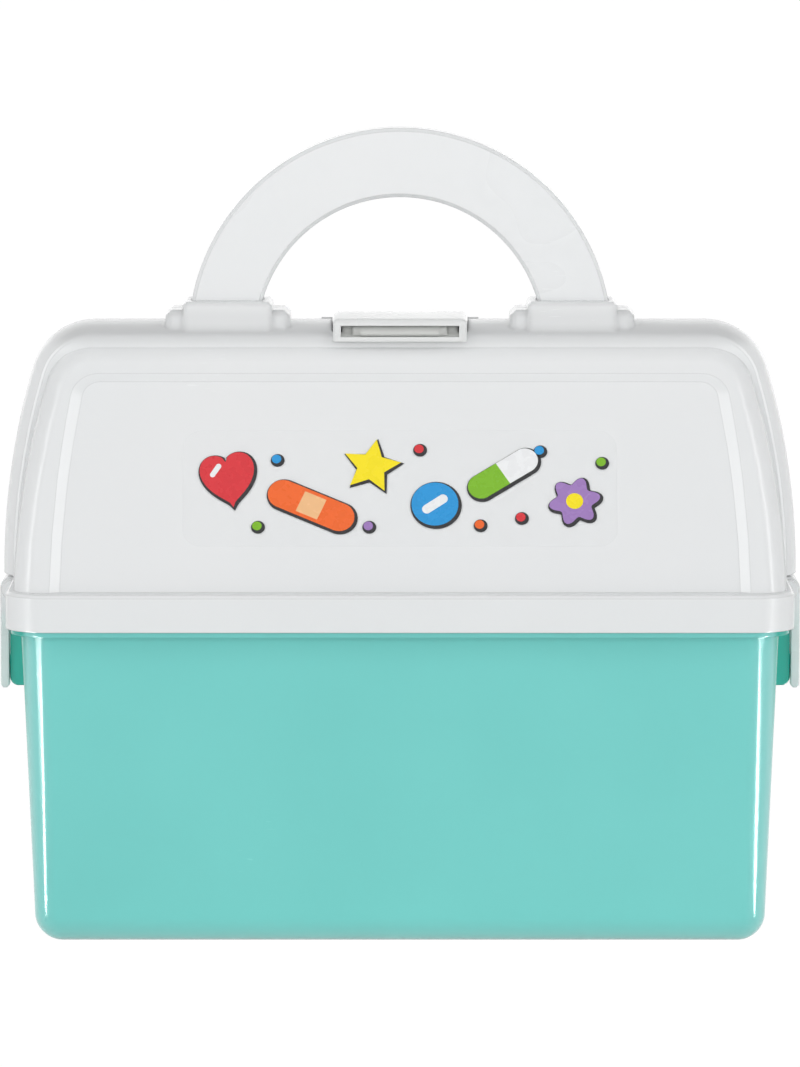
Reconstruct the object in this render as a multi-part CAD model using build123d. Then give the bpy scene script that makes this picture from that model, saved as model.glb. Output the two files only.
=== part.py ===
from build123d import *
import os
from math import atan2, cos, radians, sin, sqrt, tan

# A toy doctor's carrying case, moulded in plastic: a deep tub, an arched lid of two half shells, an arch
# handle held in sockets on the lid's belt, a strap clasp over the lid's seam, and a hanging clip at each end.
# Millimetres. X runs end to end, -Y is the front, Z is up, and the origin is under the middle of the base.

# Tub
seat_z = 100.0              # height of the face that the lid rests on
tub_draft = 2.4             # degrees that the walls lean in towards the base
tub_wall = 2.2
tub_floor = 2.4
tub_corner_r = 11.0         # upright corners, at the top
tub_bottom_r = 9.0          # rounding round the base
foot_ring_width = 7.0       # the base rests on a ring of this width
foot_ring_depth = 0.8
flange_inset = 1.5          # how far the tub's flange stays inside the lid rim's face
flange_thickness = 1.8
spigot_inset = 1.3          # the upstand that locates the lid, in from the tub's wall
spigot_wall = 1.8
spigot_height = 6.5

# Lid rim
rim_length = 247.6
rim_depth = 132.0
rim_height = 11.7
rim_corner_r = 14.0
rim_wall = 2.4
rim_edge_r = 1.6
rim_overhang = 4.65         # how far the rim's face stands out from the tub's wall
rib_thickness = 1.6
rib_clearance = 0.3         # between the rim's inner ribs and the tub's upstand
rib_pitch_long = 44.0
ribs_long = 5
rib_pitch_short = 72.0

# Lid shells
shell_wall = 2.2
lid_rise = 81.3             # from the rim's ledge to the crown of the belt
ledge_front = 6.5
ledge_end = 2.4
shoulder_r = 20.8
shoulder_lean = 16.7        # degrees from upright where the shoulder meets the side
side_lean = 9.8             # how much longer the arch is at its foot than at its shoulders
face_edge_r = 8.0           # rounding round the leaning front and back faces
face_top_gap = 1.5          # from the belt's edge to the top of the leaning face

# Belt, the raised band over the lid's middle
belt_width = 30.0
belt_crown = 4.0            # how far its middle stands over its edges
belt_step = 2.2             # how far its edges stand over the shells
belt_edge_r = 1.1
belt_foot_out = 3.7         # how far its foot stands out past the rim
belt_root = 3.0             # how far it is sunk in the shells

# Sunk panel on the front face, measured in the leaning face
panel_foot_half = 109.8
panel_top_half = 103.2
panel_top = 75.7
panel_corner_r = 9.0
panel_step = 3.2            # width of the sloping step at its sides
panel_step_top = 2.2        # and along its top
panel_depth = 1.5

# Joint between the shells
lip_depth = 3.2
lip_wall = 1.1
lip_clearance = 0.35        # under the rear shell
lip_root = 0.4              # how far the lip is sunk in the front shell's wall

# Handle
handle_outer_r = 67.8
handle_inner_r = 45.7
handle_drop = 6.3           # the arch's centre, below the crown of the belt
handle_thickness = 13.0
handle_edge_r = 1.8
key_side = 1.6              # the foot's key stands out this far past the arch, end to end
key_front = 2.2             # and this far front and back
key_height = 3.2
handle_clearance = 0.15

# Handle sockets
socket_length = 29.3
socket_depth = 27.0
socket_rise = 6.4           # over the crown of the belt
socket_edge_r = 1.8
wing_length = 40.2
wing_depth = 24.6
wing_rise = 3.7
wing_edge_r = 3.0
socket_draft = 3.0
socket_roof = 2.5

# Strap clasp
clasp_length = 42.8
clasp_rise = 2.0            # over the crown of the belt
clasp_front = 2.4           # from the belt's front edge to the clasp's front face
clasp_wall = 2.0
clasp_frame = 2.6           # side bars, beside its window
clasp_skirt = 4.8           # from the clasp's top to the foot of its side bars
clasp_drop = 8.0            # from the clasp's top to the foot of its front wall
clasp_window_height = 3.5
clasp_sill = 1.6
clasp_front_r = 2.2
clasp_pin_back = 11.5       # the pin, behind the middle of the belt
clasp_pin_drop = 2.7        # and below its crown
clasp_barrel_r = 2.7
clasp_room = 1.2            # in front of its barrel, where the notch is deeper
clasp_front_fall = 0.6      # the crowned top falls by this much to its front edge
clasp_back_fall = 0.3       # and by this much to where it bends down to the barrel
clasp_bend = 3.0            # the bend begins this far in front of the pin
clasp_gap = 0.3
clasp_side_gap = 0.4
clasp_lug_width = 3.5
clasp_lug_r = 2.4
clasp_root = 2.0            # the belt is solid for this far past the lugs
catch_length = 25.2
catch_rib = 2.5             # how far the catch's rib runs on past its snap nose
catch_reach = 1.1
catch_rise = 1.9            # the catch stands this far over the floor of the clasp's notch
catch_set_back = 1.4        # its low wall beside the rib, behind the belt's edge
catch_thickness = 2.0
nose_lip = 0.8              # height of a snap nose's blunt edge
snap_relief = 0.3           # the snap noses pass their bars by this much

# End clips
clip_width = 26.0
clip_thickness = 2.7
clip_out = 4.2              # the clip's outer face, out from the rim's end
clip_length = 32.1          # from its pin to its lower end
clip_barrel_r = 3.6
clip_pin_drop = 4.1         # the pin, below the ledge
clip_gap = 0.3
clip_side_gap = 0.4
clip_rail = 4.0             # side rails of its window
clip_window_height = 14.0
clip_bar = 6.5              # the bar below the window
clip_lug_width = 4.0
clip_lug_r = 3.0
pocket_wall = 1.2

# Catch blocks on the tub's ends
block_width = 24.0
block_height = 22.1
block_corner_r = 2.6
block_wall = 1.8
nose_width = 15.0
nose_height = 4.6
nose_reach = 1.0

# Pins
pin_r = 1.0
pin_fit = 0.03
pin_running = 0.07
pin_cover = 0.6             # plastic left over the blind end of a pin's hole

# Label on the sunk panel
label_length = 137.0
label_height = 40.0
label_corner_r = 6.0 
label_film = 0.2
label_middle = 36.5

# Places that follow from the sizes
ledge_z = seat_z + rim_height
crown_z = ledge_z + lid_rise
tall_z = crown_z + 20       # above everything on the lid but the handle
belt_edge_z = crown_z - belt_crown
shell_top_z = belt_edge_z - belt_step
belt_ceiling = shell_wall + belt_crown * (1 - 2 * shell_wall / belt_width) ** 2 / 4
arch_foot = rim_length / 2 + belt_foot_out
shell_inset = belt_crown + belt_step
shell_foot = rim_length / 2 - ledge_end
face_foot_y = rim_depth / 2 - ledge_front
face_top_y = belt_width / 2 + face_top_gap
face_lean = atan2(face_foot_y - face_top_y, shell_top_z - ledge_z)
tub_length = rim_length - 2 * rim_overhang
tub_depth = rim_depth - 2 * rim_overhang
handle_z = crown_z - handle_drop
socket_x = (handle_outer_r + handle_inner_r) / 2 - 1.8
socket_z = crown_z + socket_rise
key_top_z = socket_z - socket_roof
key_foot_z = key_top_z - key_height
clasp_top_z = crown_z + clasp_rise
clasp_foot_z = clasp_top_z - clasp_drop
clasp_face_y = belt_width / 2 + clasp_front
clasp_pin_z = crown_z - clasp_pin_drop
notch_z = clasp_top_z - clasp_skirt - clasp_gap
notch_half = clasp_length / 2 + clasp_side_gap
solid_half = notch_half + clasp_lug_width + clasp_root
clip_face_x = rim_length / 2 + clip_out
clip_inner_x = clip_face_x - clip_thickness
clip_pin_x = clip_face_x - clip_barrel_r
clip_pin_z = ledge_z - clip_pin_drop
clip_foot_z = clip_pin_z - clip_length
block_face_x = clip_inner_x - clip_gap
block_top_z = seat_z - flange_thickness
block_foot_z = block_top_z - block_height


def slab(x0, x1, y0, y1, z0, z1):
    """A box between two corners."""
    return Pos((x0 + x1) / 2, (y0 + y1) / 2, (z0 + z1) / 2) * Box(x1 - x0, y1 - y0, z1 - z0)


def mirrored(shape):
    """The same shape at the other end of the case."""
    return mirror(shape, about=Plane.YZ)


def flat_cut(r, turn):
    """What a flat takes off an edge that turns by twice this many degrees, to touch a rounding of radius r."""
    return r * (tan(radians(turn)) - tan(radians(turn / 2)))


def borders(faces):
    """The edges that belong to only one of these faces."""
    edges = [e for f in faces for e in f.edges()]
    return [e for e in edges if sum(e.is_same(other) for other in edges) == 1]


def profile_yz(points):
    """A closed outline in the upright plane that runs front to back."""
    return Plane.YZ * make_face(Polyline(*points, close=True))


# ---- tub ----

def tub_cup(mouth, foot_z):
    """A tapered block from foot_z up to an outline at the seat, and the edges round its bottom."""
    cup = extrude(Plane.XY.offset(seat_z) * mouth, amount=foot_z - seat_z, taper=tub_draft)
    return cup, cup.faces().sort_by(Axis.Z)[0].edges()


def ring(z0, height, inset_out, inset_in):
    """An upright ring that follows the tub's top outline."""
    outer = RectangleRounded(tub_length - 2 * inset_out, tub_depth - 2 * inset_out, tub_corner_r - inset_out)
    inner = RectangleRounded(tub_length - 2 * inset_in, tub_depth - 2 * inset_in, tub_corner_r - inset_in)
    return extrude(Plane.XY.offset(z0) * (outer - inner), amount=height)


def catch_block():
    """The hollow block on one end of the tub, with the snap nose that the clip's window drops over."""
    root_x = tub_length / 2 - tub_wall
    block = slab(root_x, block_face_x, -block_width / 2, block_width / 2, block_foot_z, block_top_z)
    corner = block.edges().filter_by(Axis.Y).sort_by(lambda e: e.center().X - e.center().Z)[-1]
    block = fillet(corner, block_corner_r)
    hollow = slab(
        root_x - 1, block_face_x - block_wall,
        -block_width / 2 + block_wall, block_width / 2 - block_wall,
        block_foot_z - 1, block_top_z - block_wall,
    )
    nose_z = clip_foot_z + clip_bar + clip_gap
    nose = Plane.XZ * make_face(Polyline(
        (block_face_x - 0.5, nose_z),
        (block_face_x + nose_reach, nose_z),
        (block_face_x + nose_reach, nose_z + nose_reach),
        (block_face_x, nose_z + nose_height),
        (block_face_x - 0.5, nose_z + nose_height),
        close=True,
    ))
    return block - hollow + extrude(nose, amount=nose_width / 2, both=True)


def make_tub():
    outer, edges = tub_cup(RectangleRounded(tub_length, tub_depth, tub_corner_r), 0)
    outer = fillet(edges, tub_bottom_r)
    mouth = Rectangle(tub_length - 2 * tub_wall, tub_depth - 2 * tub_wall)
    inner, edges = tub_cup(chamfer(mouth.vertices(), flat_cut(tub_corner_r - tub_wall, 45)), tub_floor)
    inner = chamfer(edges, flat_cut(tub_bottom_r - tub_wall, 45))
    blocks = catch_block()
    blocks = blocks + mirrored(blocks)
    overhang = rim_overhang - flange_inset
    body = outer + ring(seat_z - flange_thickness, flange_thickness, -overhang, tub_wall)
    body = body + ring(seat_z - flange_thickness, flange_thickness + spigot_height,
                       spigot_inset, spigot_inset + spigot_wall)
    body = body + blocks - inner
    shrink = 2 * (seat_z * tan(radians(tub_draft)) + tub_bottom_r + foot_ring_width)
    recess = RectangleRounded(tub_length - shrink, tub_depth - shrink, tub_corner_r)
    return body - extrude(recess, amount=foot_ring_depth)


# ---- lid ----

def arch_curves(inset, foot_x):
    """One half of the lid's arched outline, seen from the front: side, shoulder and half the top."""
    lean = radians(shoulder_lean)
    centre_x = arch_foot - side_lean - shoulder_r * cos(lean)
    centre_z = crown_z - shoulder_r
    r = shoulder_r - inset
    top = (centre_x, centre_z + r)
    shoulder = (centre_x + r * cos(lean), centre_z + r * sin(lean))
    turn = TangentArc(top, shoulder, tangent=(1, 0))
    side = TangentArc(shoulder, (foot_x, ledge_z), tangent=turn % 1)
    return Line((0, centre_z + r), top), turn, side


def arch_solid(inset, foot_x, foot_z):
    """The arched outline as a solid that runs front to back, from foot_z up."""
    level, turn, side = arch_curves(inset, foot_x)
    below = [(foot_x, ledge_z), (foot_x, foot_z), (0, foot_z), level @ 0]
    if foot_z == ledge_z:
        below = below[1:]
    half = Curve() + [level, turn, side, Polyline(*below)]
    face = make_face(half.edges())
    face = face + mirror(face, about=Plane.YZ)
    return extrude(Plane.XZ * face, amount=rim_depth, both=True)


def shell_form(inset, foot_z, edge_r, finer):
    """The body of both shells in one: the arch cut to the two leaning faces, its edges rounded in flats."""
    level = shell_top_z - inset
    foot_y = face_foot_y - inset / cos(face_lean)
    top_y = face_top_y - inset / cos(face_lean) + inset * tan(face_lean)
    points = [(-foot_y, ledge_z), (-top_y, level), (top_y, level), (foot_y, ledge_z)]
    if foot_z < ledge_z:
        points = [(-foot_y, foot_z), *points, (foot_y, foot_z)]
    wedge = extrude(profile_yz(points), amount=rim_length, both=True)
    body = arch_solid(shell_inset + inset, shell_foot - inset, foot_z) & wedge
    leaning = [f for f in body.faces() if abs(abs(f.normal_at().Y) - cos(face_lean)) < 0.01]
    edges = [e for f in leaning for e in f.edges() if e.center().Z > ledge_z + 1]
    body = chamfer(edges, flat_cut(edge_r, 45))
    if finer:
        flats = [f for f in body.faces() if 0.1 < abs(f.normal_at().Y) < cos(face_lean) - 0.05]
        edges = [e for e in borders(flats) if e.center().Z > ledge_z + 1]
        body = chamfer(edges, flat_cut(edge_r, 22.5))
    return body


def belt_form(inset, foot_z):
    """The belt, a crowned section swept along the arch. Drawn in by an inset it is its hollow."""
    level, turn, side = arch_curves(0, arch_foot)
    end = side @ 1
    below = Line(end, end + (side % 1) * 4)
    half = Curve() + [level, turn, side, below]
    path = Plane.XZ * Wire((half + mirror(half, about=Plane.YZ)).edges())
    start = path @ 0
    heading = path % 0
    reach = belt_width / 2 - inset
    edge = -inset - belt_crown * (2 * reach / belt_width) ** 2
    base = -(shell_inset + belt_root + inset)
    left, right = (-reach, edge), (reach, edge)
    crown = ThreePointArc(left, (0, 0), right)
    if inset:
        crown = Polyline(left, (-reach / 2, -belt_ceiling), (reach / 2, -belt_ceiling), right)
    section = make_face(Curve() + [crown, Polyline(right, (reach, base), (-reach, base), left)])
    if not inset:
        section = chamfer(section.vertices().group_by(Axis.Y)[-1], flat_cut(belt_edge_r, 45))
    outward = 1 if start.X * heading.Z > 0 else -1
    plane = Plane(origin=start, x_dir=(0, -outward, 0), z_dir=heading)
    swept = sweep(plane * section, path=path)
    return swept & slab(-rim_length, rim_length, -belt_width, belt_width, foot_z, tall_z)


def face_plane(out):
    """The leaning front face, moved outwards by out, with its origin at the middle of its foot."""
    foot = Vector(0, -face_foot_y, ledge_z)
    normal = Vector(0, -cos(face_lean), sin(face_lean))
    return Plane(origin=foot + normal * out, x_dir=(1, 0, 0), z_dir=normal)


def panel_outline(grow):
    """The sunk panel's outline in the leaning face, open past the foot, grown by grow."""
    foot = panel_foot_half + grow
    top = panel_top_half + grow
    height = panel_top + grow * panel_step_top / panel_step
    side = TangentArc((foot, 0), (top, height), tangent=(0, 1))
    half = make_face(Curve() + [
        side,
        Line((top, height), (0, height)),
        Line((0, height), (0, -8)),
        Line((0, -8), (foot, -8)),
        Line((foot, -8), (foot, 0)),
    ])
    corner = half.vertices().sort_by(lambda v: v.X + v.Y)[-1]
    half = fillet(corner, panel_corner_r + grow)
    return half + mirror(half, about=Plane.YZ)


def panel_recesses(below):
    """The sunk panels at the front and the rear, moved into the lid by below."""
    over = 0.5
    flare = panel_step * over / panel_depth
    sections = [
        face_plane(over - below) * panel_outline(flare),
        face_plane(-panel_depth - below) * panel_outline(-panel_step),
    ]
    recess = loft(sections, ruled=True)
    return recess + mirror(recess, about=Plane.XZ)


def handle_arch(grow, foot_z):
    """The arch of the handle from foot_z up, grown all round by grow."""
    band = Circle(handle_outer_r + grow) - Circle(handle_inner_r - grow)
    solid = extrude(Plane.XZ * Pos(0, handle_z) * band, amount=handle_thickness / 2 + grow, both=True)
    reach = handle_outer_r * 2
    return solid & slab(-reach, reach, -reach, reach, foot_z, handle_z + reach)


def handle_keys(grow):
    """The flat keys on the handle's feet, which the two shells close round."""
    half_y = handle_thickness / 2 + key_front + grow
    reach = key_foot_z + key_height / 2 - handle_z
    outer = sqrt(handle_outer_r ** 2 - reach ** 2) + key_side + grow
    inner = sqrt(handle_inner_r ** 2 - reach ** 2) - key_side - grow
    key = slab(inner, outer, -half_y, half_y, key_foot_z, key_top_z - handle_clearance + grow)
    return key + mirrored(key)


def sockets():
    """The stepped blocks on the belt that hold the handle's feet."""
    made = Part()
    root_z = belt_edge_z - 0.8
    for length, depth, rise, edge_r in (
        (wing_length, wing_depth, wing_rise, wing_edge_r),
        (socket_length, socket_depth, socket_rise, socket_edge_r),
    ):
        cut = flat_cut(edge_r, 45)
        outline = Plane.XY.offset(root_z) * chamfer(Rectangle(length, depth).vertices(), cut)
        block = extrude(outline, amount=crown_z + rise - root_z, taper=socket_draft)
        made = made + chamfer(block.faces().sort_by(Axis.Z)[-1].edges(), cut)
    made = Pos(socket_x, 0, 0) * made
    return made + mirrored(made)


def clip_pocket():
    """The box inside each end of the rim that a clip's barrel turns in, and the pin's lugs."""
    envelope = clip_barrel_r + clip_gap
    inner_x = clip_pin_x - envelope
    half_y = clip_width / 2 + clip_side_gap
    lug_y = half_y + clip_lug_width
    box = slab(inner_x - pocket_wall, rim_length / 2, -lug_y, lug_y,
               clip_pin_z - envelope - pocket_wall, ledge_z)
    lug = Plane.XZ * Pos(clip_pin_x, clip_pin_z) * Circle(clip_lug_r)
    lugs = extrude(lug, amount=lug_y, both=True)
    lugs = lugs + slab(rim_length / 2 - 1, clip_pin_x, -lug_y, lug_y,
                       clip_pin_z - clip_lug_r, clip_pin_z + clip_lug_r)
    return box + lugs


def clip_pocket_cut():
    envelope = clip_barrel_r + clip_gap
    half_y = clip_width / 2 + clip_side_gap
    return slab(clip_pin_x - envelope, clip_face_x + 5, -half_y, half_y, clip_pin_z - envelope, ledge_z)


def along_y(x, z, r, half_length):
    return Pos(x, 0, z) * Rot(90, 0, 0) * Cylinder(r, 2 * half_length)


def along_x(y, z, r, half_length):
    return Pos(0, y, z) * Rot(0, 90, 0) * Cylinder(r, 2 * half_length)


def rim_ribs():
    """Short ribs inside the rim that centre the lid on the tub's upstand."""
    made = Part()
    wall_y = rim_depth / 2 - rim_wall / 2
    wall_x = rim_length / 2 - rim_wall / 2
    edge_y = tub_depth / 2 - spigot_inset + rib_clearance
    edge_x = tub_length / 2 - spigot_inset + rib_clearance
    top_z = ledge_z - rim_wall / 2
    for n in range(ribs_long):
        x = (n - (ribs_long - 1) / 2) * rib_pitch_long
        rib = slab(x - rib_thickness / 2, x + rib_thickness / 2, edge_y, wall_y, seat_z, top_z)
        made = made + rib + mirror(rib, about=Plane.XZ)
    for y in (-rib_pitch_short / 2, rib_pitch_short / 2):
        rib = slab(edge_x, wall_x, y - rib_thickness / 2, y + rib_thickness / 2, seat_z, top_z)
        made = made + rib + mirrored(rib)
    return made


def make_lid():
    """Both shells in one, before they part along the middle."""
    rim = RectangleRounded(rim_length, rim_depth, rim_corner_r)
    rim = extrude(Plane.XY.offset(seat_z) * rim, amount=rim_height)
    rim = chamfer(rim.faces().sort_by(Axis.Z)[-1].edges(), flat_cut(rim_edge_r, 45))
    rim_hollow = RectangleRounded(rim_length - 2 * rim_wall, rim_depth - 2 * rim_wall, rim_corner_r - rim_wall)
    rim_hollow = extrude(Plane.XY.offset(seat_z - 1) * rim_hollow, amount=rim_height + 1 - rim_wall)

    shell = shell_form(0, ledge_z, face_edge_r, True) - panel_recesses(0)
    hollow = shell_form(shell_wall, seat_z - 1, face_edge_r - shell_wall, False) - panel_recesses(shell_wall)

    belt_hollow = belt_form(shell_wall, ledge_z + shell_wall) - clasp_block()

    body = rim + shell + belt_form(0, ledge_z) + sockets()
    pocket = clip_pocket()
    body = body - rim_hollow + pocket + mirrored(pocket) + rim_ribs()
    body = body - hollow - belt_hollow
    cut = clip_pocket_cut()
    body = body - cut - mirrored(cut)
    pin_hole = along_y(clip_pin_x, clip_pin_z, pin_r + pin_fit, clip_pin_half() + pin_fit)
    body = body - pin_hole - mirrored(pin_hole)
    body = body - handle_arch(handle_clearance, key_foot_z) - handle_keys(handle_clearance)
    return body


def clasp_block():
    """The stretch of the belt under the clasp, which is left solid."""
    return slab(-solid_half, solid_half, -belt_width, belt_width, ledge_z, tall_z)


def clip_pin_half():
    return clip_width / 2 + clip_side_gap + clip_lug_width - pin_cover


def clasp_pin_half():
    return notch_half + clasp_lug_width - pin_cover


def clasp_seat(body):
    """The notch in the belt that the clasp lies in, its catch and the lugs of its pin."""
    body = body - slab(-notch_half, notch_half, -belt_width, belt_width, notch_z, tall_z)
    barrel_y = clasp_pin_back - clasp_barrel_r - clasp_room
    floor_z = clasp_pin_z - clasp_barrel_r - clasp_gap
    body = body - slab(-notch_half, notch_half, barrel_y, belt_width, floor_z, tall_z)
    lug = along_x(clasp_pin_back, clasp_pin_z, clasp_lug_r, notch_half + clasp_lug_width)
    lug = lug + slab(-notch_half - clasp_lug_width, notch_half + clasp_lug_width,
                     clasp_pin_back - clasp_lug_r, clasp_pin_back + clasp_lug_r, shell_top_z - 1, clasp_pin_z)
    lug = lug - slab(-notch_half, notch_half, -belt_width, belt_width, 0, tall_z)
    body = body + lug
    body = body - along_x(clasp_pin_back, clasp_pin_z, pin_r + pin_fit, clasp_pin_half() + pin_fit)
    edge = -belt_width / 2
    rib_top = notch_z + catch_rise
    half = catch_length / 2 + catch_rib
    catch = slab(-half, half, edge, edge + catch_thickness, belt_edge_z, rib_top)
    wall_half = clasp_length / 2 - clasp_frame - clasp_side_gap
    wall_y = edge + catch_set_back
    catch = catch + slab(-wall_half, wall_half, wall_y, wall_y + catch_thickness, belt_edge_z, rib_top)
    sill_z = clasp_foot_z + clasp_sill + clasp_gap
    nose = profile_yz([
        (edge + 0.5, sill_z), (edge - catch_reach, sill_z), (edge - catch_reach, sill_z + nose_lip),
        (edge, rib_top), (edge + 0.5, rib_top),
    ])
    catch = catch + extrude(nose, amount=catch_length / 2, both=True)
    return body + catch


def lip_ring(inset_out, inset_in, y0, y1):
    """A thin arch that follows the belt's underside, with a gap at the solid stretch under the clasp."""
    foot_z = ledge_z + shell_wall + lip_clearance
    outer = arch_solid(inset_out, arch_foot - inset_out, ledge_z)
    inner = arch_solid(inset_in, arch_foot - inset_in, ledge_z - 1)
    ring = (outer - inner) & slab(-rim_length, rim_length, y0, y1, foot_z, tall_z)
    half = solid_half + lip_clearance
    return ring - slab(-half, half, y0, y1, ledge_z, tall_z)


def split_lid(body):
    """The front and rear shells. The front one has a lip that goes under the rear one's belt."""
    front = body & slab(-rim_length, rim_length, -rim_depth, 0, 0, tall_z)
    rear = body & slab(-rim_length, rim_length, 0, rim_depth, 0, tall_z)
    lip_under = belt_ceiling + lip_clearance + lip_wall
    front = front + lip_ring(belt_ceiling - lip_root, lip_under, -lip_depth, 0)
    front = front + lip_ring(belt_ceiling + lip_clearance, lip_under, 0, lip_depth)
    return front, rear


# ---- handle, clips and clasp ----

def make_handle():
    arch = handle_arch(0, key_foot_z)
    edges = [e for e in arch.edges() if e.geom_type == GeomType.CIRCLE]
    return chamfer(edges, flat_cut(handle_edge_r, 45)) + handle_keys(0)


def make_clip():
    """One end clip: a barrel round its pin, a hanging plate with a window, and a bar below it."""
    half = clip_width / 2
    plate = Plane.XZ * make_face(Polyline(
        (clip_inner_x, clip_foot_z), (clip_face_x, clip_foot_z), (clip_face_x, clip_pin_z),
        (clip_inner_x, clip_pin_z), close=True))
    plate = extrude(plate, amount=half, both=True)
    foot = plate.faces().sort_by(Axis.Z)[0].edges().filter_by(Axis.Y)
    plate = chamfer(foot, flat_cut(clip_thickness / 2, 45))
    clip = plate + along_y(clip_pin_x, clip_pin_z, clip_barrel_r, half)
    bar_top = clip_foot_z + clip_bar
    clip = clip - slab(clip_inner_x - 1, clip_face_x + 1, -half + clip_rail, half - clip_rail,
                       bar_top, bar_top + clip_window_height)
    nose_half = nose_width / 2 + snap_relief
    relief_x = block_face_x + nose_reach + snap_relief
    clip = clip - slab(clip_inner_x - 1, relief_x, -nose_half, nose_half, clip_foot_z - 1, bar_top + 1)
    return clip - along_y(clip_pin_x, clip_pin_z, pin_r + pin_running, clip_width)


def make_clasp():
    """The strap clasp: a shallow cap over the belt with a window in its front wall and a barrel at its back."""
    face = -clasp_face_y
    inside = face + clasp_wall
    tail = clasp_pin_back + clasp_barrel_r
    front_z = clasp_top_z - clasp_front_fall
    back_y = clasp_pin_back - clasp_bend
    skirt_z = clasp_top_z - clasp_skirt
    corner = (face, front_z - clasp_front_r)
    shoulder = (face + clasp_front_r, front_z)
    top = ThreePointArc(shoulder, ((shoulder[0] + back_y) / 2, clasp_top_z), (back_y, clasp_top_z - clasp_back_fall))
    outline = make_face(Curve() + [
        Line((face, clasp_foot_z), corner),
        TangentArc(corner, shoulder, tangent=(0, 1)),
        top,
        TangentArc(top @ 1, (tail, clasp_pin_z), tangent=top % 1),
        Polyline((tail, clasp_pin_z), (tail, skirt_z), (inside, skirt_z), (inside, clasp_foot_z), (face, clasp_foot_z)),
    ])
    half = clasp_length / 2
    cap = extrude(Plane.YZ * outline, amount=half, both=True)
    inner = half - clasp_frame
    hollow_back = clasp_pin_back - clasp_barrel_r - clasp_room
    hollow_top = front_z - clasp_wall
    cap = cap - slab(-inner, inner, inside, hollow_back, clasp_foot_z, hollow_top)
    cap = cap + along_x(clasp_pin_back, clasp_pin_z, clasp_barrel_r, half)
    window_z = clasp_foot_z + clasp_sill
    cap = cap - slab(-inner, inner, face - 1, inside + 0.5, window_z, window_z + clasp_window_height)
    relief = -belt_width / 2 - catch_reach - snap_relief
    nose_half = catch_length / 2 + snap_relief
    cap = cap - slab(-nose_half, nose_half, relief, inside + 0.5, clasp_foot_z - 1, window_z + 0.5)
    return cap - along_x(clasp_pin_back, clasp_pin_z, pin_r + pin_running, clasp_length)


def make_label():
    """The die-cut film on the sunk panel."""
    outline = RectangleRounded(label_length, label_height, label_corner_r)
    plane = face_plane(-panel_depth)
    return extrude(plane * Pos(0, label_middle) * outline, amount=label_film)


def main():
    os.makedirs("parts", exist_ok=True)
    front, rear = split_lid(clasp_seat(make_lid()))
    right_clip = make_clip()
    right_pin = along_y(clip_pin_x, clip_pin_z, pin_r, clip_pin_half())
    nodes = {
        "tub": make_tub(),
        "lid_front_shell": front,
        "lid_rear_shell": rear,
        "carry_handle": make_handle(),
        "top_clasp": make_clasp(),
        "top_clasp_pin": along_x(clasp_pin_back, clasp_pin_z, pin_r, clasp_pin_half()),
        "right_clip": right_clip,
        "right_clip_pin": right_pin,
        "left_clip": mirrored(right_clip),
        "left_clip_pin": mirrored(right_pin),
        "front_label": make_label(),
    }
    for name, shape in nodes.items():
        export_step(shape, f"parts/{name}.step")
        print(name, len(shape.solids()), round(shape.volume))


main()
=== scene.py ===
from math import atan2, cos, pi, radians, sin, sqrt

import bmesh
import bpy
from mathutils import Matrix, Vector


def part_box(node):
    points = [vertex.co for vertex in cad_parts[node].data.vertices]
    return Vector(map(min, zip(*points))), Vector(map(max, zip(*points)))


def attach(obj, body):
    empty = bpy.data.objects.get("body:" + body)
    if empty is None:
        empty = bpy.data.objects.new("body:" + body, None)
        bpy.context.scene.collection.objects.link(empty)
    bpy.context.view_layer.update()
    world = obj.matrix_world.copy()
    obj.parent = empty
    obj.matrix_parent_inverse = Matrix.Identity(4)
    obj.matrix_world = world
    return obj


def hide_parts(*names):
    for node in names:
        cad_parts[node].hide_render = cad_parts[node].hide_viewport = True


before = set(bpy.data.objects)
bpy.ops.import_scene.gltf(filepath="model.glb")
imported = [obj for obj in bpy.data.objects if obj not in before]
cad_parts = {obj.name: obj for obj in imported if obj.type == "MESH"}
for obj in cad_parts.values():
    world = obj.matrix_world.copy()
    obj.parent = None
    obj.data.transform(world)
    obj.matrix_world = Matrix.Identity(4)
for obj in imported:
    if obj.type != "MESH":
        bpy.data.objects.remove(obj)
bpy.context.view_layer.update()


# ---- The studio ----
# White paper runs under the case and curves up behind it. Soft boxes stand at both sides, in front, overhead and
# behind, and a long lens looks from a little above the case.

camera_distance = 2.0
camera_height = 0.353
camera_tilt = radians(6.54)     # below level
focal_length_px = 6252.0
picture_width_px = 800
sensor_width_mm = 36.0

bpy.ops.object.camera_add(location=(0, -camera_distance, camera_height), rotation=(pi / 2 - camera_tilt, 0, 0))
camera = bpy.context.object
camera.name = "studio_camera"
camera.data.sensor_fit = "HORIZONTAL"
camera.data.sensor_width = sensor_width_mm
camera.data.lens = focal_length_px / picture_width_px * sensor_width_mm
camera.data.clip_start = 0.05
camera.data.clip_end = 60.0
bpy.context.scene.camera = camera
bpy.context.scene.view_settings.view_transform = "Standard"

paper_half_width = 3.0
paper_front = -3.5
paper_bend_y = 1.1              # where the paper leaves the table
paper_bend_radius = 0.8
paper_bend_steps = 16
paper_rise = 3.2                # above the bend

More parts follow.
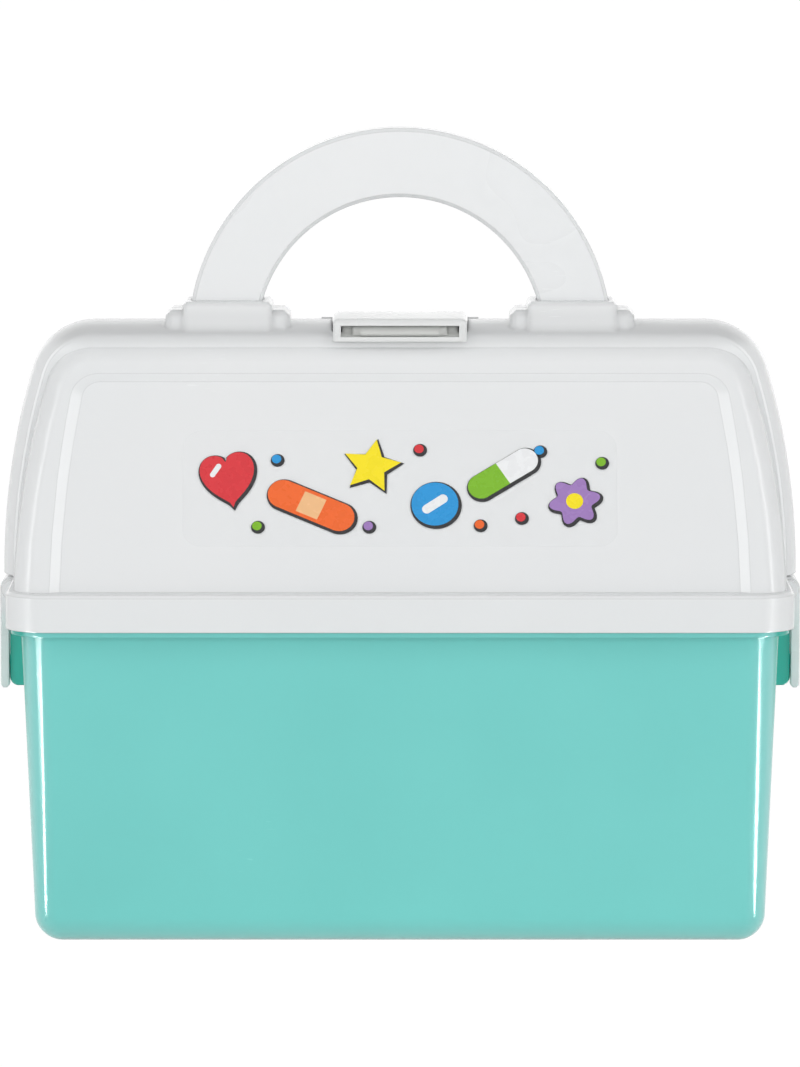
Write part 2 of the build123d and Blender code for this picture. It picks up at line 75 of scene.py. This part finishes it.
bpy.ops.object.select_all(action="DESELECT")
bpy.ops.mesh.primitive_plane_add(size=1, location=(0, 0, 0))
paper = bpy.context.object
paper.name = "studio_paper"
paper.scale = (2 * paper_half_width, paper_bend_y - paper_front, 1)
paper.location = (0, (paper_bend_y + paper_front) / 2, 0)
bpy.ops.object.transform_apply(location=True, rotation=True, scale=True)
bpy.ops.object.mode_set(mode="EDIT")
bpy.ops.mesh.select_all(action="DESELECT")
bpy.ops.mesh.select_mode(type="EDGE")
sheet = bmesh.from_edit_mesh(paper.data)
for edge in sheet.edges:
    edge.select = all(abs(v.co.y - paper_bend_y) < 1e-6 for v in edge.verts)
bmesh.update_edit_mesh(paper.data)
bpy.ops.mesh.spin(
    steps=paper_bend_steps, angle=-pi / 2, center=(0, paper_bend_y, paper_bend_radius), axis=(1, 0, 0), dupli=False,
)
bpy.ops.mesh.extrude_region_move(TRANSFORM_OT_translate={"value": (0, 0, paper_rise)})
bpy.ops.object.mode_set(mode="OBJECT")
bpy.ops.object.shade_smooth()


def add_node(tree, kind, inputs=None, **settings):
    """A shader node with its settings. Each input is given its value, or the socket that feeds it."""
    node = tree.nodes.new(kind)
    for setting, choice in settings.items():
        setattr(node, setting, choice)
    for socket, value in (inputs or {}).items():
        if isinstance(value, bpy.types.NodeSocket):
            tree.links.new(value, node.inputs[socket])
        else:
            node.inputs[socket].default_value = value
    return node


def bare_material(name):
    """A new material with no nodes in it yet."""
    material = bpy.data.materials.new(name)
    material.use_nodes = True
    material.node_tree.nodes.clear()
    return material


def seen_directly(tree):
    """A share that is 1 where the camera sees the surface itself, or in a mirror or through glass, and 0 elsewhere."""
    rays = add_node(tree, "ShaderNodeLightPath")
    share = rays.outputs["Is Camera Ray"]
    for kind in ("Is Glossy Ray", "Is Transmission Ray"):
        share = add_node(tree, "ShaderNodeMath", {0: share, 1: rays.outputs[kind]}, operation="MAXIMUM").outputs[0]
    return share


paper_white = (0.86, 0.86, 0.86, 1)
paper_glow = 1.03
paper_glow_share = 0.97         # the rest is the matt paper, which keeps the case's shadow
pure_white = (1, 1, 1, 1)

paper_stock = bare_material("white_paper")
tree = paper_stock.node_tree
matt = add_node(tree, "ShaderNodeBsdfDiffuse", {"Color": paper_white})
glow = add_node(tree, "ShaderNodeEmission", {"Color": pure_white, "Strength": paper_glow})
share = add_node(tree, "ShaderNodeMath", {0: seen_directly(tree), 1: paper_glow_share}, operation="MULTIPLY")
front = add_node(tree, "ShaderNodeMixShader", {"Fac": share.outputs[0], 1: matt.outputs[0], 2: glow.outputs[0]})
# From behind, the sheet is out of the way.
side = add_node(tree, "ShaderNodeNewGeometry")
nothing = add_node(tree, "ShaderNodeBsdfTransparent")
both = add_node(tree, "ShaderNodeMixShader", {
    "Fac": side.outputs["Backfacing"], 1: front.outputs[0], 2: nothing.outputs[0],
})
add_node(tree, "ShaderNodeOutputMaterial", {"Surface": both.outputs[0]})
paper.data.materials.append(paper_stock)

room_fill = 0.30                # what the room lights the case with
room_white = 1.0                # what is seen of the room itself

room = bpy.data.worlds.new("studio_room")
bpy.context.scene.world = room
room.use_nodes = True
tree = room.node_tree
tree.nodes.clear()
fill = add_node(tree, "ShaderNodeBackground", {"Color": pure_white, "Strength": room_fill})
seen = add_node(tree, "ShaderNodeBackground", {"Color": pure_white, "Strength": room_white})
both = add_node(tree, "ShaderNodeMixShader", {"Fac": seen_directly(tree), 1: fill.outputs[0], 2: seen.outputs[0]})
add_node(tree, "ShaderNodeOutputWorld", {"Surface": both.outputs[0]})

case_middle = Vector((0, 0, 0.12))


def soft_box(name, azimuth, elevation, distance, width, height, radiance):
    """An area lamp aimed at the middle of the case. Azimuth is measured round from the camera to the right."""
    flat = cos(radians(elevation))
    away = Vector((sin(radians(azimuth)) * flat, -cos(radians(azimuth)) * flat, sin(radians(elevation))))
    bpy.ops.object.light_add(type="AREA", location=case_middle + away * distance)
    lamp = bpy.context.object
    lamp.name = name
    lamp.rotation_euler = away.to_track_quat("Z", "Y").to_euler()
    lamp.data.shape = "RECTANGLE"
    lamp.data.size = width
    lamp.data.size_y = height
    lamp.data.energy = radiance * pi * width * height
    return lamp


# Azimuth and elevation are in degrees, and distance, width and height in metres.
for side, way in (("left", -1), ("right", 1)):
    soft_box("soft_box_low_" + side, way * 64, 6, 1.6, 0.60, 1.5, 2.9)
    soft_box("soft_box_high_" + side, way * 55, 42, 1.6, 0.32, 0.50, 5.0)
soft_box("soft_box_front", 0, 15, 1.8, 1.4, 1.0, 1.95)
soft_box("soft_box_top", 0, 72, 1.7, 1.6, 1.2, 0.20)
# The last one stands behind the case, so the camera looks through it.
soft_box("soft_box_back", 180, 20, 1.0, 1.2, 0.7, 0.55).visible_camera = False

# A glowing strip on the table off each front corner, wider as it runs away. The glossy corners of the tub, which
# lean over it, carry its reflection as a thin bright line.
strip_start = (0.118, -0.058, 0.0008)       # by the tub's right front corner, just above the paper
strip_near = 0.03
strip_far = 0.42
strip_spread = radians(4.5)                 # to each side of the strip's middle
strip_azimuth = radians(57)
strip_radiance = 48.0

strip_glow = bare_material("strip_glow")
tree = strip_glow.node_tree
glow = add_node(tree, "ShaderNodeEmission", {"Strength": strip_radiance})
add_node(tree, "ShaderNodeOutputMaterial", {"Surface": glow.outputs[0]})
for side, way in (("left", -1), ("right", 1)):
    bpy.ops.object.select_all(action="DESELECT")
    bpy.ops.mesh.primitive_plane_add(size=1, location=(0, 0, 0))
    strip = bpy.context.object
    strip.name = "glow_strip_" + side
    start = Vector((way * strip_start[0], strip_start[1], strip_start[2]))
    for v in strip.data.vertices:
        reach = strip_far if v.co.y > 0 else strip_near
        turn = strip_azimuth + (strip_spread if v.co.x > 0 else -strip_spread)
        v.co = start + Vector((way * sin(turn), -cos(turn), 0)) * reach
    strip.data.materials.append(strip_glow)
    strip.visible_camera = False
    strip.visible_diffuse = False
    strip.visible_shadow = False
    strip.visible_transmission = False


# ---- Tub ----
# The deep lower half, injection moulded in one shot of mint polypropylene. The mould was polished, so the skin
# is glossy, with the faint ripple and the fine scuffs that such a wall has.

mint = (0.182, 0.655, 0.614, 1)
mint_deep = (0.167, 0.624, 0.583, 1)        # where the wall is a little thicker
catch_block_shaded_mint = (0.02, 0.47, 0.38, 1)    # painted shade, where the catch blocks lie in the clips' shadow


def effect_group(name, inputs, outputs):
    """A shader node group with named inputs and outputs. Gives the group and the sockets that its inputs arrive at."""
    group = bpy.data.node_groups.new(name, "ShaderNodeTree")
    for socket, value in inputs.items():
        group.interface.new_socket(name=socket, in_out="INPUT", socket_type="NodeSocketFloat").default_value = value
    for socket in outputs:
        group.interface.new_socket(name=socket, in_out="OUTPUT", socket_type="NodeSocketFloat")
    return group, add_node(group, "NodeGroupInput").outputs


# Moulded skin: the slow ripple of a cooled wall and the fine grain that a mould leaves.
skin, given = effect_group(
    "moulded_skin",
    {"Ripple Scale": 22.0, "Grain Scale": 900.0, "Grain Share": 0.2, "Roughness": 0.2, "Roughness Drift": 0.06},
    ("Height", "Drift", "Roughness"),
)
place = add_node(skin, "ShaderNodeTexCoord").outputs["Object"]
ripple = add_node(skin, "ShaderNodeTexNoise", {"Vector": place, "Scale": given["Ripple Scale"], "Detail": 2.0})
grain = add_node(skin, "ShaderNodeTexNoise", {"Vector": place, "Scale": given["Grain Scale"], "Detail": 3.0})
height = add_node(skin, "ShaderNodeMix", {
    "Factor": given["Grain Share"], "A": ripple.outputs["Fac"], "B": grain.outputs["Fac"],
}, data_type="FLOAT")
drift = add_node(skin, "ShaderNodeMapRange", {"Value": ripple.outputs["Fac"], "From Min": 0.3, "From Max": 0.7})
gloss = add_node(skin, "ShaderNodeMath", {
    0: drift.outputs["Result"], 1: given["Roughness Drift"], 2: given["Roughness"],
}, operation="MULTIPLY_ADD")
add_node(skin, "NodeGroupOutput", {
    "Height": height.outputs["Result"], "Drift": drift.outputs["Result"], "Roughness": gloss.outputs[0],
})

# Handling scuffs: short fine hairlines in patches, where a shelf or a hand has rubbed.
scuffs, given = effect_group("handling_scuffs", {"Patch Scale": 30.0, "Amount": 0.3}, ("Mask",))
place = add_node(scuffs, "ShaderNodeTexCoord").outputs["Object"]
stretch = add_node(scuffs, "ShaderNodeMapping", {
    "Vector": place, "Rotation": (0.4, 0.9, 0.3), "Scale": (1.0, 12.0, 12.0),
})
hairs = add_node(scuffs, "ShaderNodeTexNoise", {"Vector": stretch.outputs["Vector"], "Scale": 140.0, "Detail": 4.0})
hair_lines = add_node(scuffs, "ShaderNodeMapRange", {
    "Value": hairs.outputs["Fac"], "From Min": 0.60, "From Max": 0.70,
})
patches = add_node(scuffs, "ShaderNodeTexNoise", {"Vector": place, "Scale": given["Patch Scale"], "Detail": 1.0})
patch_edges = add_node(scuffs, "ShaderNodeMapRange", {
    "Value": patches.outputs["Fac"], "From Min": 0.50, "From Max": 0.72,
})
rubbed = add_node(scuffs, "ShaderNodeMath", {
    0: hair_lines.outputs["Result"], 1: patch_edges.outputs["Result"],
}, operation="MULTIPLY")
amount = add_node(scuffs, "ShaderNodeMath", {0: rubbed.outputs[0], 1: given["Amount"]}, operation="MULTIPLY")
add_node(scuffs, "NodeGroupOutput", {"Mask": amount.outputs[0]})


def new_finish(name):
    """A new material, with its tree and its Principled shader."""
    material = bpy.data.materials.new(name)
    material.use_nodes = True
    return material, material.node_tree, material.node_tree.nodes["Principled BSDF"]


def shaded(colour, shade):
    """A colour times a shade."""
    return [part * shade for part in colour[:3]] + [1]


polypropylene_ior = 1.49
grain_share = 0.05
roughness_drift = 0.25                      # a share of the roughness itself
painted_sheen_blend = 0.35
painted_sheen_white = (0.85, 0.95, 0.94, 1)         # the paler tone of the painted sheen, where the skin is seen at a slant
# The painted shade in hollows: how far it looks, how open the skin must be to get none, and how dark it goes.
painted_shade_reach = 0.012
painted_shade_starts, painted_shade_full = 0.95, 0.35     # how open the skin is to its surroundings
painted_shade_dim = 0.45
# The painted shade along edges: where it starts and ends, and how dark it goes.
line_starts, line_full = 0.999, 0.988       # the cosine of the turn that rounding gives the skin
line_shade = 0.75
skin_samples = 8                            # rays for the rounding and for the hollows


def moulded_plastic(name, colour, deep_colour, roughness, ripple_scale, bump, scuff_amount, edge_round,
                    painted_sheen=0, painted_crease_shade=0, painted_edge_shade=0):
    """A moulded plastic: its colour drifts with the wall, scuffs dull its gloss and its edges are rounded.

    Of the last three arguments, the first paints a sheen that makes it paler at a slant, the second paints shade
    that makes it darker in a hollow, and the third paints shade in a fine dark line along its edges.
    """
    material, tree, plastic = new_finish(name)
    wall = add_node(tree, "ShaderNodeGroup", node_tree=skin, inputs={
        "Ripple Scale": ripple_scale, "Grain Share": grain_share,
        "Roughness": roughness, "Roughness Drift": roughness * roughness_drift,
    })
    rubbed = add_node(tree, "ShaderNodeGroup", node_tree=scuffs, inputs={"Amount": scuff_amount})
    tint = add_node(tree, "ShaderNodeMix", data_type="RGBA", inputs={
        "Factor": wall.outputs["Drift"], "A": deep_colour, "B": colour,
    })
    # Painted sheen: the colour turns paler where the skin is seen at a slant.
    slant = add_node(tree, "ShaderNodeLayerWeight", {"Blend": painted_sheen_blend})
    glow = add_node(tree, "ShaderNodeMath", {0: slant.outputs["Facing"], 1: painted_sheen}, operation="MULTIPLY")
    painted_sheen_mix = add_node(tree, "ShaderNodeMix", data_type="RGBA", inputs={
        "Factor": glow.outputs[0], "A": tint.outputs["Result"], "B": painted_sheen_white,
    })
    # Painted shade: the colour turns darker in hollows, where the part's own walls are near.
    occlusion = add_node(
        tree, "ShaderNodeAmbientOcclusion", {"Distance": painted_shade_reach}, samples=skin_samples, only_local=True,
    )
    crease_shade_share = add_node(tree, "ShaderNodeMapRange", {
        "Value": occlusion.outputs["AO"], "From Min": painted_shade_starts, "From Max": painted_shade_full, "To Max": painted_crease_shade,
    })
    dim = add_node(tree, "ShaderNodeMix", data_type="RGBA", inputs={
        "Factor": crease_shade_share.outputs["Result"], "A": painted_sheen_mix.outputs["Result"], "B": shaded(colour, painted_shade_dim),
    })
    eased = add_node(tree, "ShaderNodeBevel", {"Radius": edge_round}, name="eased", samples=skin_samples)
    flat = add_node(tree, "ShaderNodeNewGeometry")
    turned = add_node(tree, "ShaderNodeVectorMath", {
        0: flat.outputs["Normal"], 1: eased.outputs["Normal"],
    }, operation="DOT_PRODUCT")
    # Painted shade: a fine darker line along the edges, where the rounding turns the normal.
    line = add_node(tree, "ShaderNodeMapRange", name="painted_edge_shade", inputs={
        "Value": turned.outputs["Value"], "From Min": line_starts, "From Max": line_full, "To Max": painted_edge_shade,
    })
    outline = add_node(tree, "ShaderNodeMix", data_type="RGBA", inputs={
        "Factor": line.outputs["Result"], "A": dim.outputs["Result"], "B": shaded(colour, line_shade),
    })
    dull = add_node(tree, "ShaderNodeMath", {0: wall.outputs["Roughness"], 1: rubbed.outputs["Mask"]}, operation="ADD")
    relief = add_node(tree, "ShaderNodeBump", {
        "Strength": 1.0, "Distance": bump, "Height": wall.outputs["Height"], "Normal": eased.outputs["Normal"],
    })
    tree.links.new(outline.outputs["Result"], plastic.inputs["Base Color"])
    tree.links.new(dull.outputs[0], plastic.inputs["Roughness"])
    tree.links.new(relief.outputs["Normal"], plastic.inputs["Normal"])
    plastic.inputs["IOR"].default_value = polypropylene_ior
    return material


def painted_shade_zone(material, colour, *bounds):
    """Paints shade on a plastic: turns it to a darker colour past every bound, and gives the share of it.

    A bound is an axis, and how far from the middle on either side the change starts and ends.
    """
    tree = material.node_tree
    base = tree.nodes["Principled BSDF"].inputs["Base Color"]
    place = add_node(tree, "ShaderNodeTexCoord")
    split = add_node(tree, "ShaderNodeSeparateXYZ", {"Vector": place.outputs["Object"]})
    share = 1.0
    for axis, start, end in bounds:
        reach = add_node(tree, "ShaderNodeMath", {0: split.outputs[axis]}, operation="ABSOLUTE")
        share = add_node(tree, "ShaderNodeMapRange", interpolation_type="SMOOTHSTEP", inputs={
            "Value": reach.outputs[0], "From Min": start, "From Max": end, "To Max": share,
        }).outputs["Result"]
    painted_shade_mix = add_node(tree, "ShaderNodeMix", data_type="RGBA", inputs={
        "Factor": share, "A": base.links[0].from_socket, "B": colour,
    })
    tree.links.new(painted_shade_mix.outputs["Result"], base)
    return share


weld_distance = 0.000002
flat_angle = radians(0.6)       # faces that turn by less are one flat
sharp_angle = radians(23.0)     # edges that turn by more are real edges, and the rest are steps of a round


def moulding(node, body, material):
    """A CAD node as the mould made it: its triangles joined and the flats of its rounds shaded as one."""
    piece = bpy.data.objects.new(node + "_moulding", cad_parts[node].data.copy())
    bpy.context.scene.collection.objects.link(piece)
    bpy.ops.object.select_all(action="DESELECT")
    piece.select_set(True)
    bpy.context.view_layer.objects.active = piece
    bpy.ops.object.mode_set(mode="EDIT")
    bpy.ops.mesh.select_all(action="SELECT")
    bpy.ops.mesh.customdata_custom_splitnormals_clear()
    bpy.ops.mesh.remove_doubles(threshold=weld_distance)
    bpy.ops.mesh.dissolve_limited(angle_limit=flat_angle)
    bpy.ops.mesh.select_all(action="DESELECT")
    bpy.ops.mesh.edges_select_sharp(sharpness=sharp_angle)
    bpy.ops.mesh.mark_sharp()
    bpy.ops.object.mode_set(mode="OBJECT")
    bpy.ops.object.shade_smooth(keep_sharp_edges=True)
    flush = piece.modifiers.new("flush_faces", "WEIGHTED_NORMAL")
    flush.weight = 100
    flush.keep_sharp = True
    piece.data.materials.clear()
    piece.data.materials.append(material)
    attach(piece, body)
    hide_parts(node)
    return piece


# The tub gets a painted sheen, paler where it is seen at a slant.
mint_plastic = moulded_plastic(
    "mint_polypropylene", mint, mint_deep,
    roughness=0.15, ripple_scale=14.0, bump=0.00010, scuff_amount=0.10, edge_round=0.0008, painted_sheen=0.5,
)
# Painted shade on the catch blocks past the end walls, which lie in the clips' shadow.
painted_shade_zone(mint_plastic, catch_block_shaded_mint, ("X", 0.1165, 0.1185))      # past the end walls
moulding("tub", "tub", mint_plastic)


# ---- Lid ----
# Two half shells that meet along the middle of the belt and hold the handle's feet between them. They are moulded
# in white polypropylene, from a polished mould too, and the front one carries the label on its sunk panel.

white = (0.80, 0.81, 0.815, 1)
white_deep = (0.785, 0.80, 0.808, 1)
shell_edge_round = 0.0005
shell_painted_edge_shade = 0.6
belt_edge_round = 0.0026        # the belt's edges are softer, and get no painted edge shade
belt_painted_edge_shade = 0.0

# Painted shade: the belt, the sockets and the clasp's catch sit in less light, and are painted a darker white.
belt_shaded_white = (0.60, 0.61, 0.615, 1)
belt_top_shaded_white = (0.67, 0.68, 0.685, 1)
socket_shaded_white = (0.75, 0.76, 0.765, 1)
catch_shaded_white = (0.63, 0.64, 0.62, 1)

# The white shells get painted shade in their hollows and in a fine line along their edges.
white_plastic = moulded_plastic(
    "white_polypropylene", white, white_deep,
    roughness=0.22, ripple_scale=12.0, bump=0.00008, scuff_amount=0.02, edge_round=shell_edge_round,
    painted_crease_shade=0.20, painted_edge_shade=shell_painted_edge_shade,
)
belt = painted_shade_zone(white_plastic, belt_shaded_white, ("Z", 0.1840, 0.1893))     # up the belt's front
painted_shade_zone(white_plastic, belt_top_shaded_white, ("Z", 0.1902, 0.1928))
painted_shade_zone(white_plastic, socket_shaded_white, ("Z", 0.1940, 0.2005))
painted_shade_zone(white_plastic, catch_shaded_white, ("Z", 0.1866, 0.1872), ("X", 0.0196, 0.0186))     # within its width
tree = white_plastic.node_tree
for node, socket, on_shell, on_belt in (
    ("eased", "Radius", shell_edge_round, belt_edge_round),
    ("painted_edge_shade", "To Max", shell_painted_edge_shade, belt_painted_edge_shade),
):
    change = add_node(tree, "ShaderNodeMapRange", {"Value": belt, "To Min": on_shell, "To Max": on_belt})
    tree.links.new(change.outputs["Result"], tree.nodes[node].inputs[socket])
for shell in ("lid_front_shell", "lid_rear_shell"):
    moulding(shell, "lid", white_plastic)


# ---- Handle ----
# One solid arch of the same white polypropylene, whose keyed feet are trapped in the belt's sockets. It is thicker
# than the shells, so it cooled slower and its skin is a little softer.

# The handle gets painted shade in its hollows and in a fine line along its edges.
handle_plastic = moulded_plastic(
    "handle_polypropylene", white, white_deep,
    roughness=0.25, ripple_scale=16.0, bump=0.00004, scuff_amount=0.03, edge_round=0.0006,
    painted_crease_shade=0.3, painted_edge_shade=0.6,
)
moulding("carry_handle", "lid", handle_plastic)


# ---- Clasp and clips ----
# Thin white mouldings that snap over the lid's catch and the tub's catch blocks. Each turns on a pin of drawn
# steel wire, which lies in blind holes in the shells.

strap_shaded_white = (0.735, 0.745, 0.74, 1)       # painted shade on the top of the clasp's strap, in a darker white

# The small parts get painted shade in their hollows and in a fine line along their edges.
small_part_plastic = moulded_plastic(
    "small_part_polypropylene", white, white_deep,
    roughness=0.24, ripple_scale=40.0, bump=0.00001, scuff_amount=0.02, edge_round=0.0007,
    painted_crease_shade=0.15, painted_edge_shade=0.3,
)
painted_shade_zone(small_part_plastic, strap_shaded_white, ("Z", 0.182, 0.186))
for clip in ("left_clip", "right_clip"):
    moulding(clip, clip, small_part_plastic)

# The strap's ends are rounded over on its top and down its front wall. The round dies away toward the barrel.
end_round = 0.0018
end_round_steps = 3
strap_top_z = 0.192
strap_front_y = -0.017
round_stops_y = 0.0136
round_fades_over = 0.004

clasp = moulding("top_clasp", "top_clasp", small_part_plastic)
bpy.ops.object.mode_set(mode="EDIT")
shape = bmesh.from_edit_mesh(clasp.data)
weight = shape.edges.layers.float.new("bevel_weight_edge")
end_x = max(v.co.x for v in shape.verts)
for edge in shape.edges:
    on_end = abs(abs(edge.verts[0].co.x + edge.verts[1].co.x) / 2 - end_x) < 1e-5
    on_top = all(v.co.z > strap_top_z and v.co.y < round_stops_y for v in edge.verts)
    on_front = all(v.co.y < strap_front_y for v in edge.verts)
    if on_end and (on_top or on_front):
        middle_y = (edge.verts[0].co.y + edge.verts[1].co.y) / 2
        edge[weight] = min(1.0, max(0.0, (round_stops_y - middle_y) / round_fades_over))
bmesh.update_edit_mesh(clasp.data)
bpy.ops.object.mode_set(mode="OBJECT")
round_over = clasp.modifiers.new("rounded_ends", "BEVEL")
round_over.limit_method = "WEIGHT"
round_over.width = end_round
round_over.segments = end_round_steps
round_over.use_clamp_overlap = False
clasp.modifiers.move(1, 0)      # ahead of the one that shades its flats

steel_dark = (0.50, 0.50, 0.51, 1)
steel_bright = (0.66, 0.66, 0.67, 1)

pin_wire, tree, steel = new_finish("drawn_steel_wire")
drawn = add_node(tree, "ShaderNodeGroup", node_tree=skin, inputs={
    "Ripple Scale": 400.0, "Grain Scale": 4000.0, "Grain Share": 0.6, "Roughness": 0.28, "Roughness Drift": 0.12,
})
tint = add_node(tree, "ShaderNodeMix", data_type="RGBA", inputs={
    "Factor": drawn.outputs["Drift"], "A": steel_dark, "B": steel_bright,
})
tree.links.new(tint.outputs["Result"], steel.inputs["Base Color"])
tree.links.new(drawn.outputs["Roughness"], steel.inputs["Roughness"])
steel.inputs["Metallic"].default_value = 1.0
for pin in ("top_clasp_pin", "left_clip_pin", "right_clip_pin"):
    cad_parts[pin].data.materials.clear()
    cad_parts[pin].data.materials.append(pin_wire)


# ---- Label ----
# A clear vinyl film rubbed down on the sunk panel of the front shell, screen printed with a play-doctor's motifs:
# each is a bright ink over a black one that shows as an outline and a little shadow.

mm = 0.001
film_thickness = 0.2 * mm
glue_thickness = 0.03 * mm
ink_thickness = 0.04 * mm
outline_width = 0.7 * mm
shadow_shift = (0.35 * mm, -0.45 * mm)

film_tone = (0.92, 0.93, 0.94, 1)
film_haze = 0.03
film_ripple = 0.08 * mm

film, tree, vinyl = new_finish("clear_film")
vinyl.inputs["Base Color"].default_value = film_tone
vinyl.inputs["Alpha"].default_value = film_haze
rolled = add_node(tree, "ShaderNodeGroup", node_tree=skin, inputs={
    "Ripple Scale": 90.0, "Roughness": 0.08, "Roughness Drift": 0.05,
})
relief = add_node(tree, "ShaderNodeBump", {"Distance": film_ripple, "Height": rolled.outputs["Height"]})
tree.links.new(rolled.outputs["Roughness"], vinyl.inputs["Roughness"])
tree.links.new(relief.outputs["Normal"], vinyl.inputs["Normal"])

# The film's place is the middle of its outer face: x runs along the panel, y up it and z out of it.
film_faces = [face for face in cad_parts["front_label"].data.polygons if face.normal.y < 0]
face_out = max(film_faces, key=lambda face: face.area).normal.copy()
film_low, film_high = (Vector(corner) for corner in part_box("front_label"))
film_face = (film_low + film_high) / 2 + face_out * (film_thickness / 2 + glue_thickness)
film_place = Matrix.Translation(film_face) @ Matrix((
    (1, 0, 0, 0), (0, face_out.z, face_out.y, 0), (0, -face_out.y, face_out.z, 0), (0, 0, 0, 1),
))
label = moulding("front_label", "lid", film)
label.data.transform(Matrix.Translation(face_out * glue_thickness))


def ink(name, colour):
    """A screen printed ink under the film's gloss, a little thinner here and there."""
    material, tree, printed = new_finish(name)
    wall = add_node(tree, "ShaderNodeGroup", node_tree=skin, inputs={
        "Ripple Scale": 260.0, "Roughness": 0.22, "Roughness Drift": 0.1,
    })
    thin_colour = [min(1, 1.05 * part + 0.006) for part in colour]
    tint = add_node(tree, "ShaderNodeMix", data_type="RGBA", inputs={
        "Factor": wall.outputs["Drift"], "A": (*colour, 1), "B": (*thin_colour, 1),
    })
    tree.links.new(tint.outputs["Result"], printed.inputs["Base Color"])
    tree.links.new(wall.outputs["Roughness"], printed.inputs["Roughness"])
    return material


black_ink = ink("black_ink", (0.012, 0.012, 0.014))
red_ink = ink("red_ink", (0.66, 0.025, 0.035))
orange_ink = ink("orange_ink", (0.84, 0.13, 0.015))
yellow_ink = ink("yellow_ink", (0.91, 0.74, 0.003))
green_ink = ink("green_ink", (0.19, 0.46, 0.010))
blue_ink = ink("blue_ink", (0.012, 0.29, 0.66))
purple_ink = ink("purple_ink", (0.33, 0.19, 0.48))
plaster_ink = ink("plaster_ink", (0.86, 0.50, 0.24))
white_ink = ink("white_ink", (0.82, 0.83, 0.84))


# Each outline gives its point at a turn from its middle, for a half width of 1.

def disc(turn):
    return cos(turn), sin(turn)


def heart(turn):
    """A circle pulled up into two lobes."""
    return cos(turn), 0.92 * sin(turn) + 0.62 * sqrt(abs(cos(turn))) - 0.16


def star(turn):
    """Five points, for an outline with ten corners."""
    reach = 1 if round(turn / (pi / 5) - 0.5) % 2 == 0 else 0.48
    return reach * cos(turn), reach * sin(turn)


def flower(turn):
    """A circle that waves into six petals."""
    reach = 0.84 + 0.16 * cos(6 * turn)
    return reach * cos(turn), reach * sin(turn)


def bar(turn):
    """A bar with round ends, three times as long as it is wide."""
    return cos(turn) / 3 + (2 / 3 if cos(turn) > 0 else -2 / 3), sin(turn) / 3


def half_bar(turn):
    """The right half of that bar."""
    return (cos(turn) / 3 + 2 / 3, sin(turn) / 3) if cos(turn) > 0 else (0, sin(turn) / 3)


def print_plate(name, outline, corners, half_width, at, turn, layer, colour, grow=0.0):
    """One closed outline in one ink. Layers stack outwards from the film, and grow widens the outline all round."""
    bpy.ops.object.select_all(action="DESELECT")
    bpy.ops.mesh.primitive_circle_add(vertices=corners, radius=1, fill_type="NGON", rotation=(0, 0, pi / 2))
    plate = bpy.context.object
    plate.name = name
    bpy.ops.object.transform_apply(location=False, rotation=True, scale=False)
    places = [Vector((*outline(atan2(v.co.y, v.co.x)), 0)) * half_width for v in plate.data.vertices]
    for v, place in zip(plate.data.vertices, places):
        before, after = places[v.index - 1], places[(v.index + 1) % corners]
        outwards = (after - before).cross(Vector((0, 0, 1))).normalized()
        v.co = place + outwards * grow
    bpy.ops.object.mode_set(mode="EDIT")
    bpy.ops.mesh.select_all(action="SELECT")
    bpy.ops.mesh.extrude_region_move(TRANSFORM_OT_translate={"value": (0, 0, ink_thickness)})
    bpy.ops.mesh.select_all(action="SELECT")
    bpy.ops.mesh.normals_make_consistent(inside=False)
    bpy.ops.object.mode_set(mode="OBJECT")
    here = Matrix.Translation((at[0], at[1], layer * ink_thickness)) @ Matrix.Rotation(turn, 4, "Z")
    plate.data.transform(film_place @ here)
    plate.data.materials.clear()
    plate.data.materials.append(colour)
    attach(plate, "lid")


def print_motif(name, outline, corners, half_width, at, turn, colour):
    """A motif in its colour over its black outline and shadow. Sizes are in mm and the turn is in degrees."""
    at = (at[0] * mm, at[1] * mm)
    under = (at[0] + shadow_shift[0], at[1] + shadow_shift[1])
    turn = radians(turn)
    print_plate(name + "_outline", outline, corners, half_width * mm, under, turn, 0, black_ink, outline_width)
    print_plate(name, outline, corners, half_width * mm, at, turn, 1, colour)


def print_detail(name, outline, corners, half_width, at, turn, colour):
    """A detail over a motif, with no outline of its own. Sizes are in mm and the turn is in degrees."""
    print_plate(name, outline, corners, half_width * mm, (at[0] * mm, at[1] * mm), radians(turn), 2, colour)


print_motif("print_heart", heart, 64, 8.6, (-54, 2.5), 10, red_ink)
print_detail("print_heart_glint", bar, 24, 2.6, (-58.2, 6.0), 58, white_ink)
print_motif("print_plaster", bar, 48, 14.5, (-28, -6), -24, orange_ink)
print_detail("print_plaster_pad", disc, 4, 5.2, (-28, -6), 21, plaster_ink)
print_motif("print_star", star, 10, 9.4, (-9, 7.5), 8, yellow_ink)
print_motif("print_tablet", disc, 48, 7.4, (11, -5.5), 0, blue_ink)
print_detail("print_tablet_score", bar, 24, 4.6, (11, -5.5), 35, white_ink)
print_motif("print_capsule", bar, 48, 12.4, (32.5, 5), 33, green_ink)
print_detail("print_capsule_end", half_bar, 48, 12.4, (32.5, 5), 33, white_ink)
print_motif("print_flower", flower, 72, 8.2, (55, -4.5), 12, purple_ink)
print_detail("print_flower_eye", disc, 32, 2.7, (55, -4.5), 0, yellow_ink)
for n, (x, y, colour) in enumerate((
    (-39, 10, blue_ink), (-45, -13, green_ink), (-10, -13, purple_ink), (6, 13.5, red_ink),
    (25, -12.5, orange_ink), (44, 13, blue_ink), (38, -10, red_ink), (63.5, 9, green_ink),
)):
    print_motif(f"print_dot_{n + 1}", disc, 24, 1.5, (x, y), 0, colour)
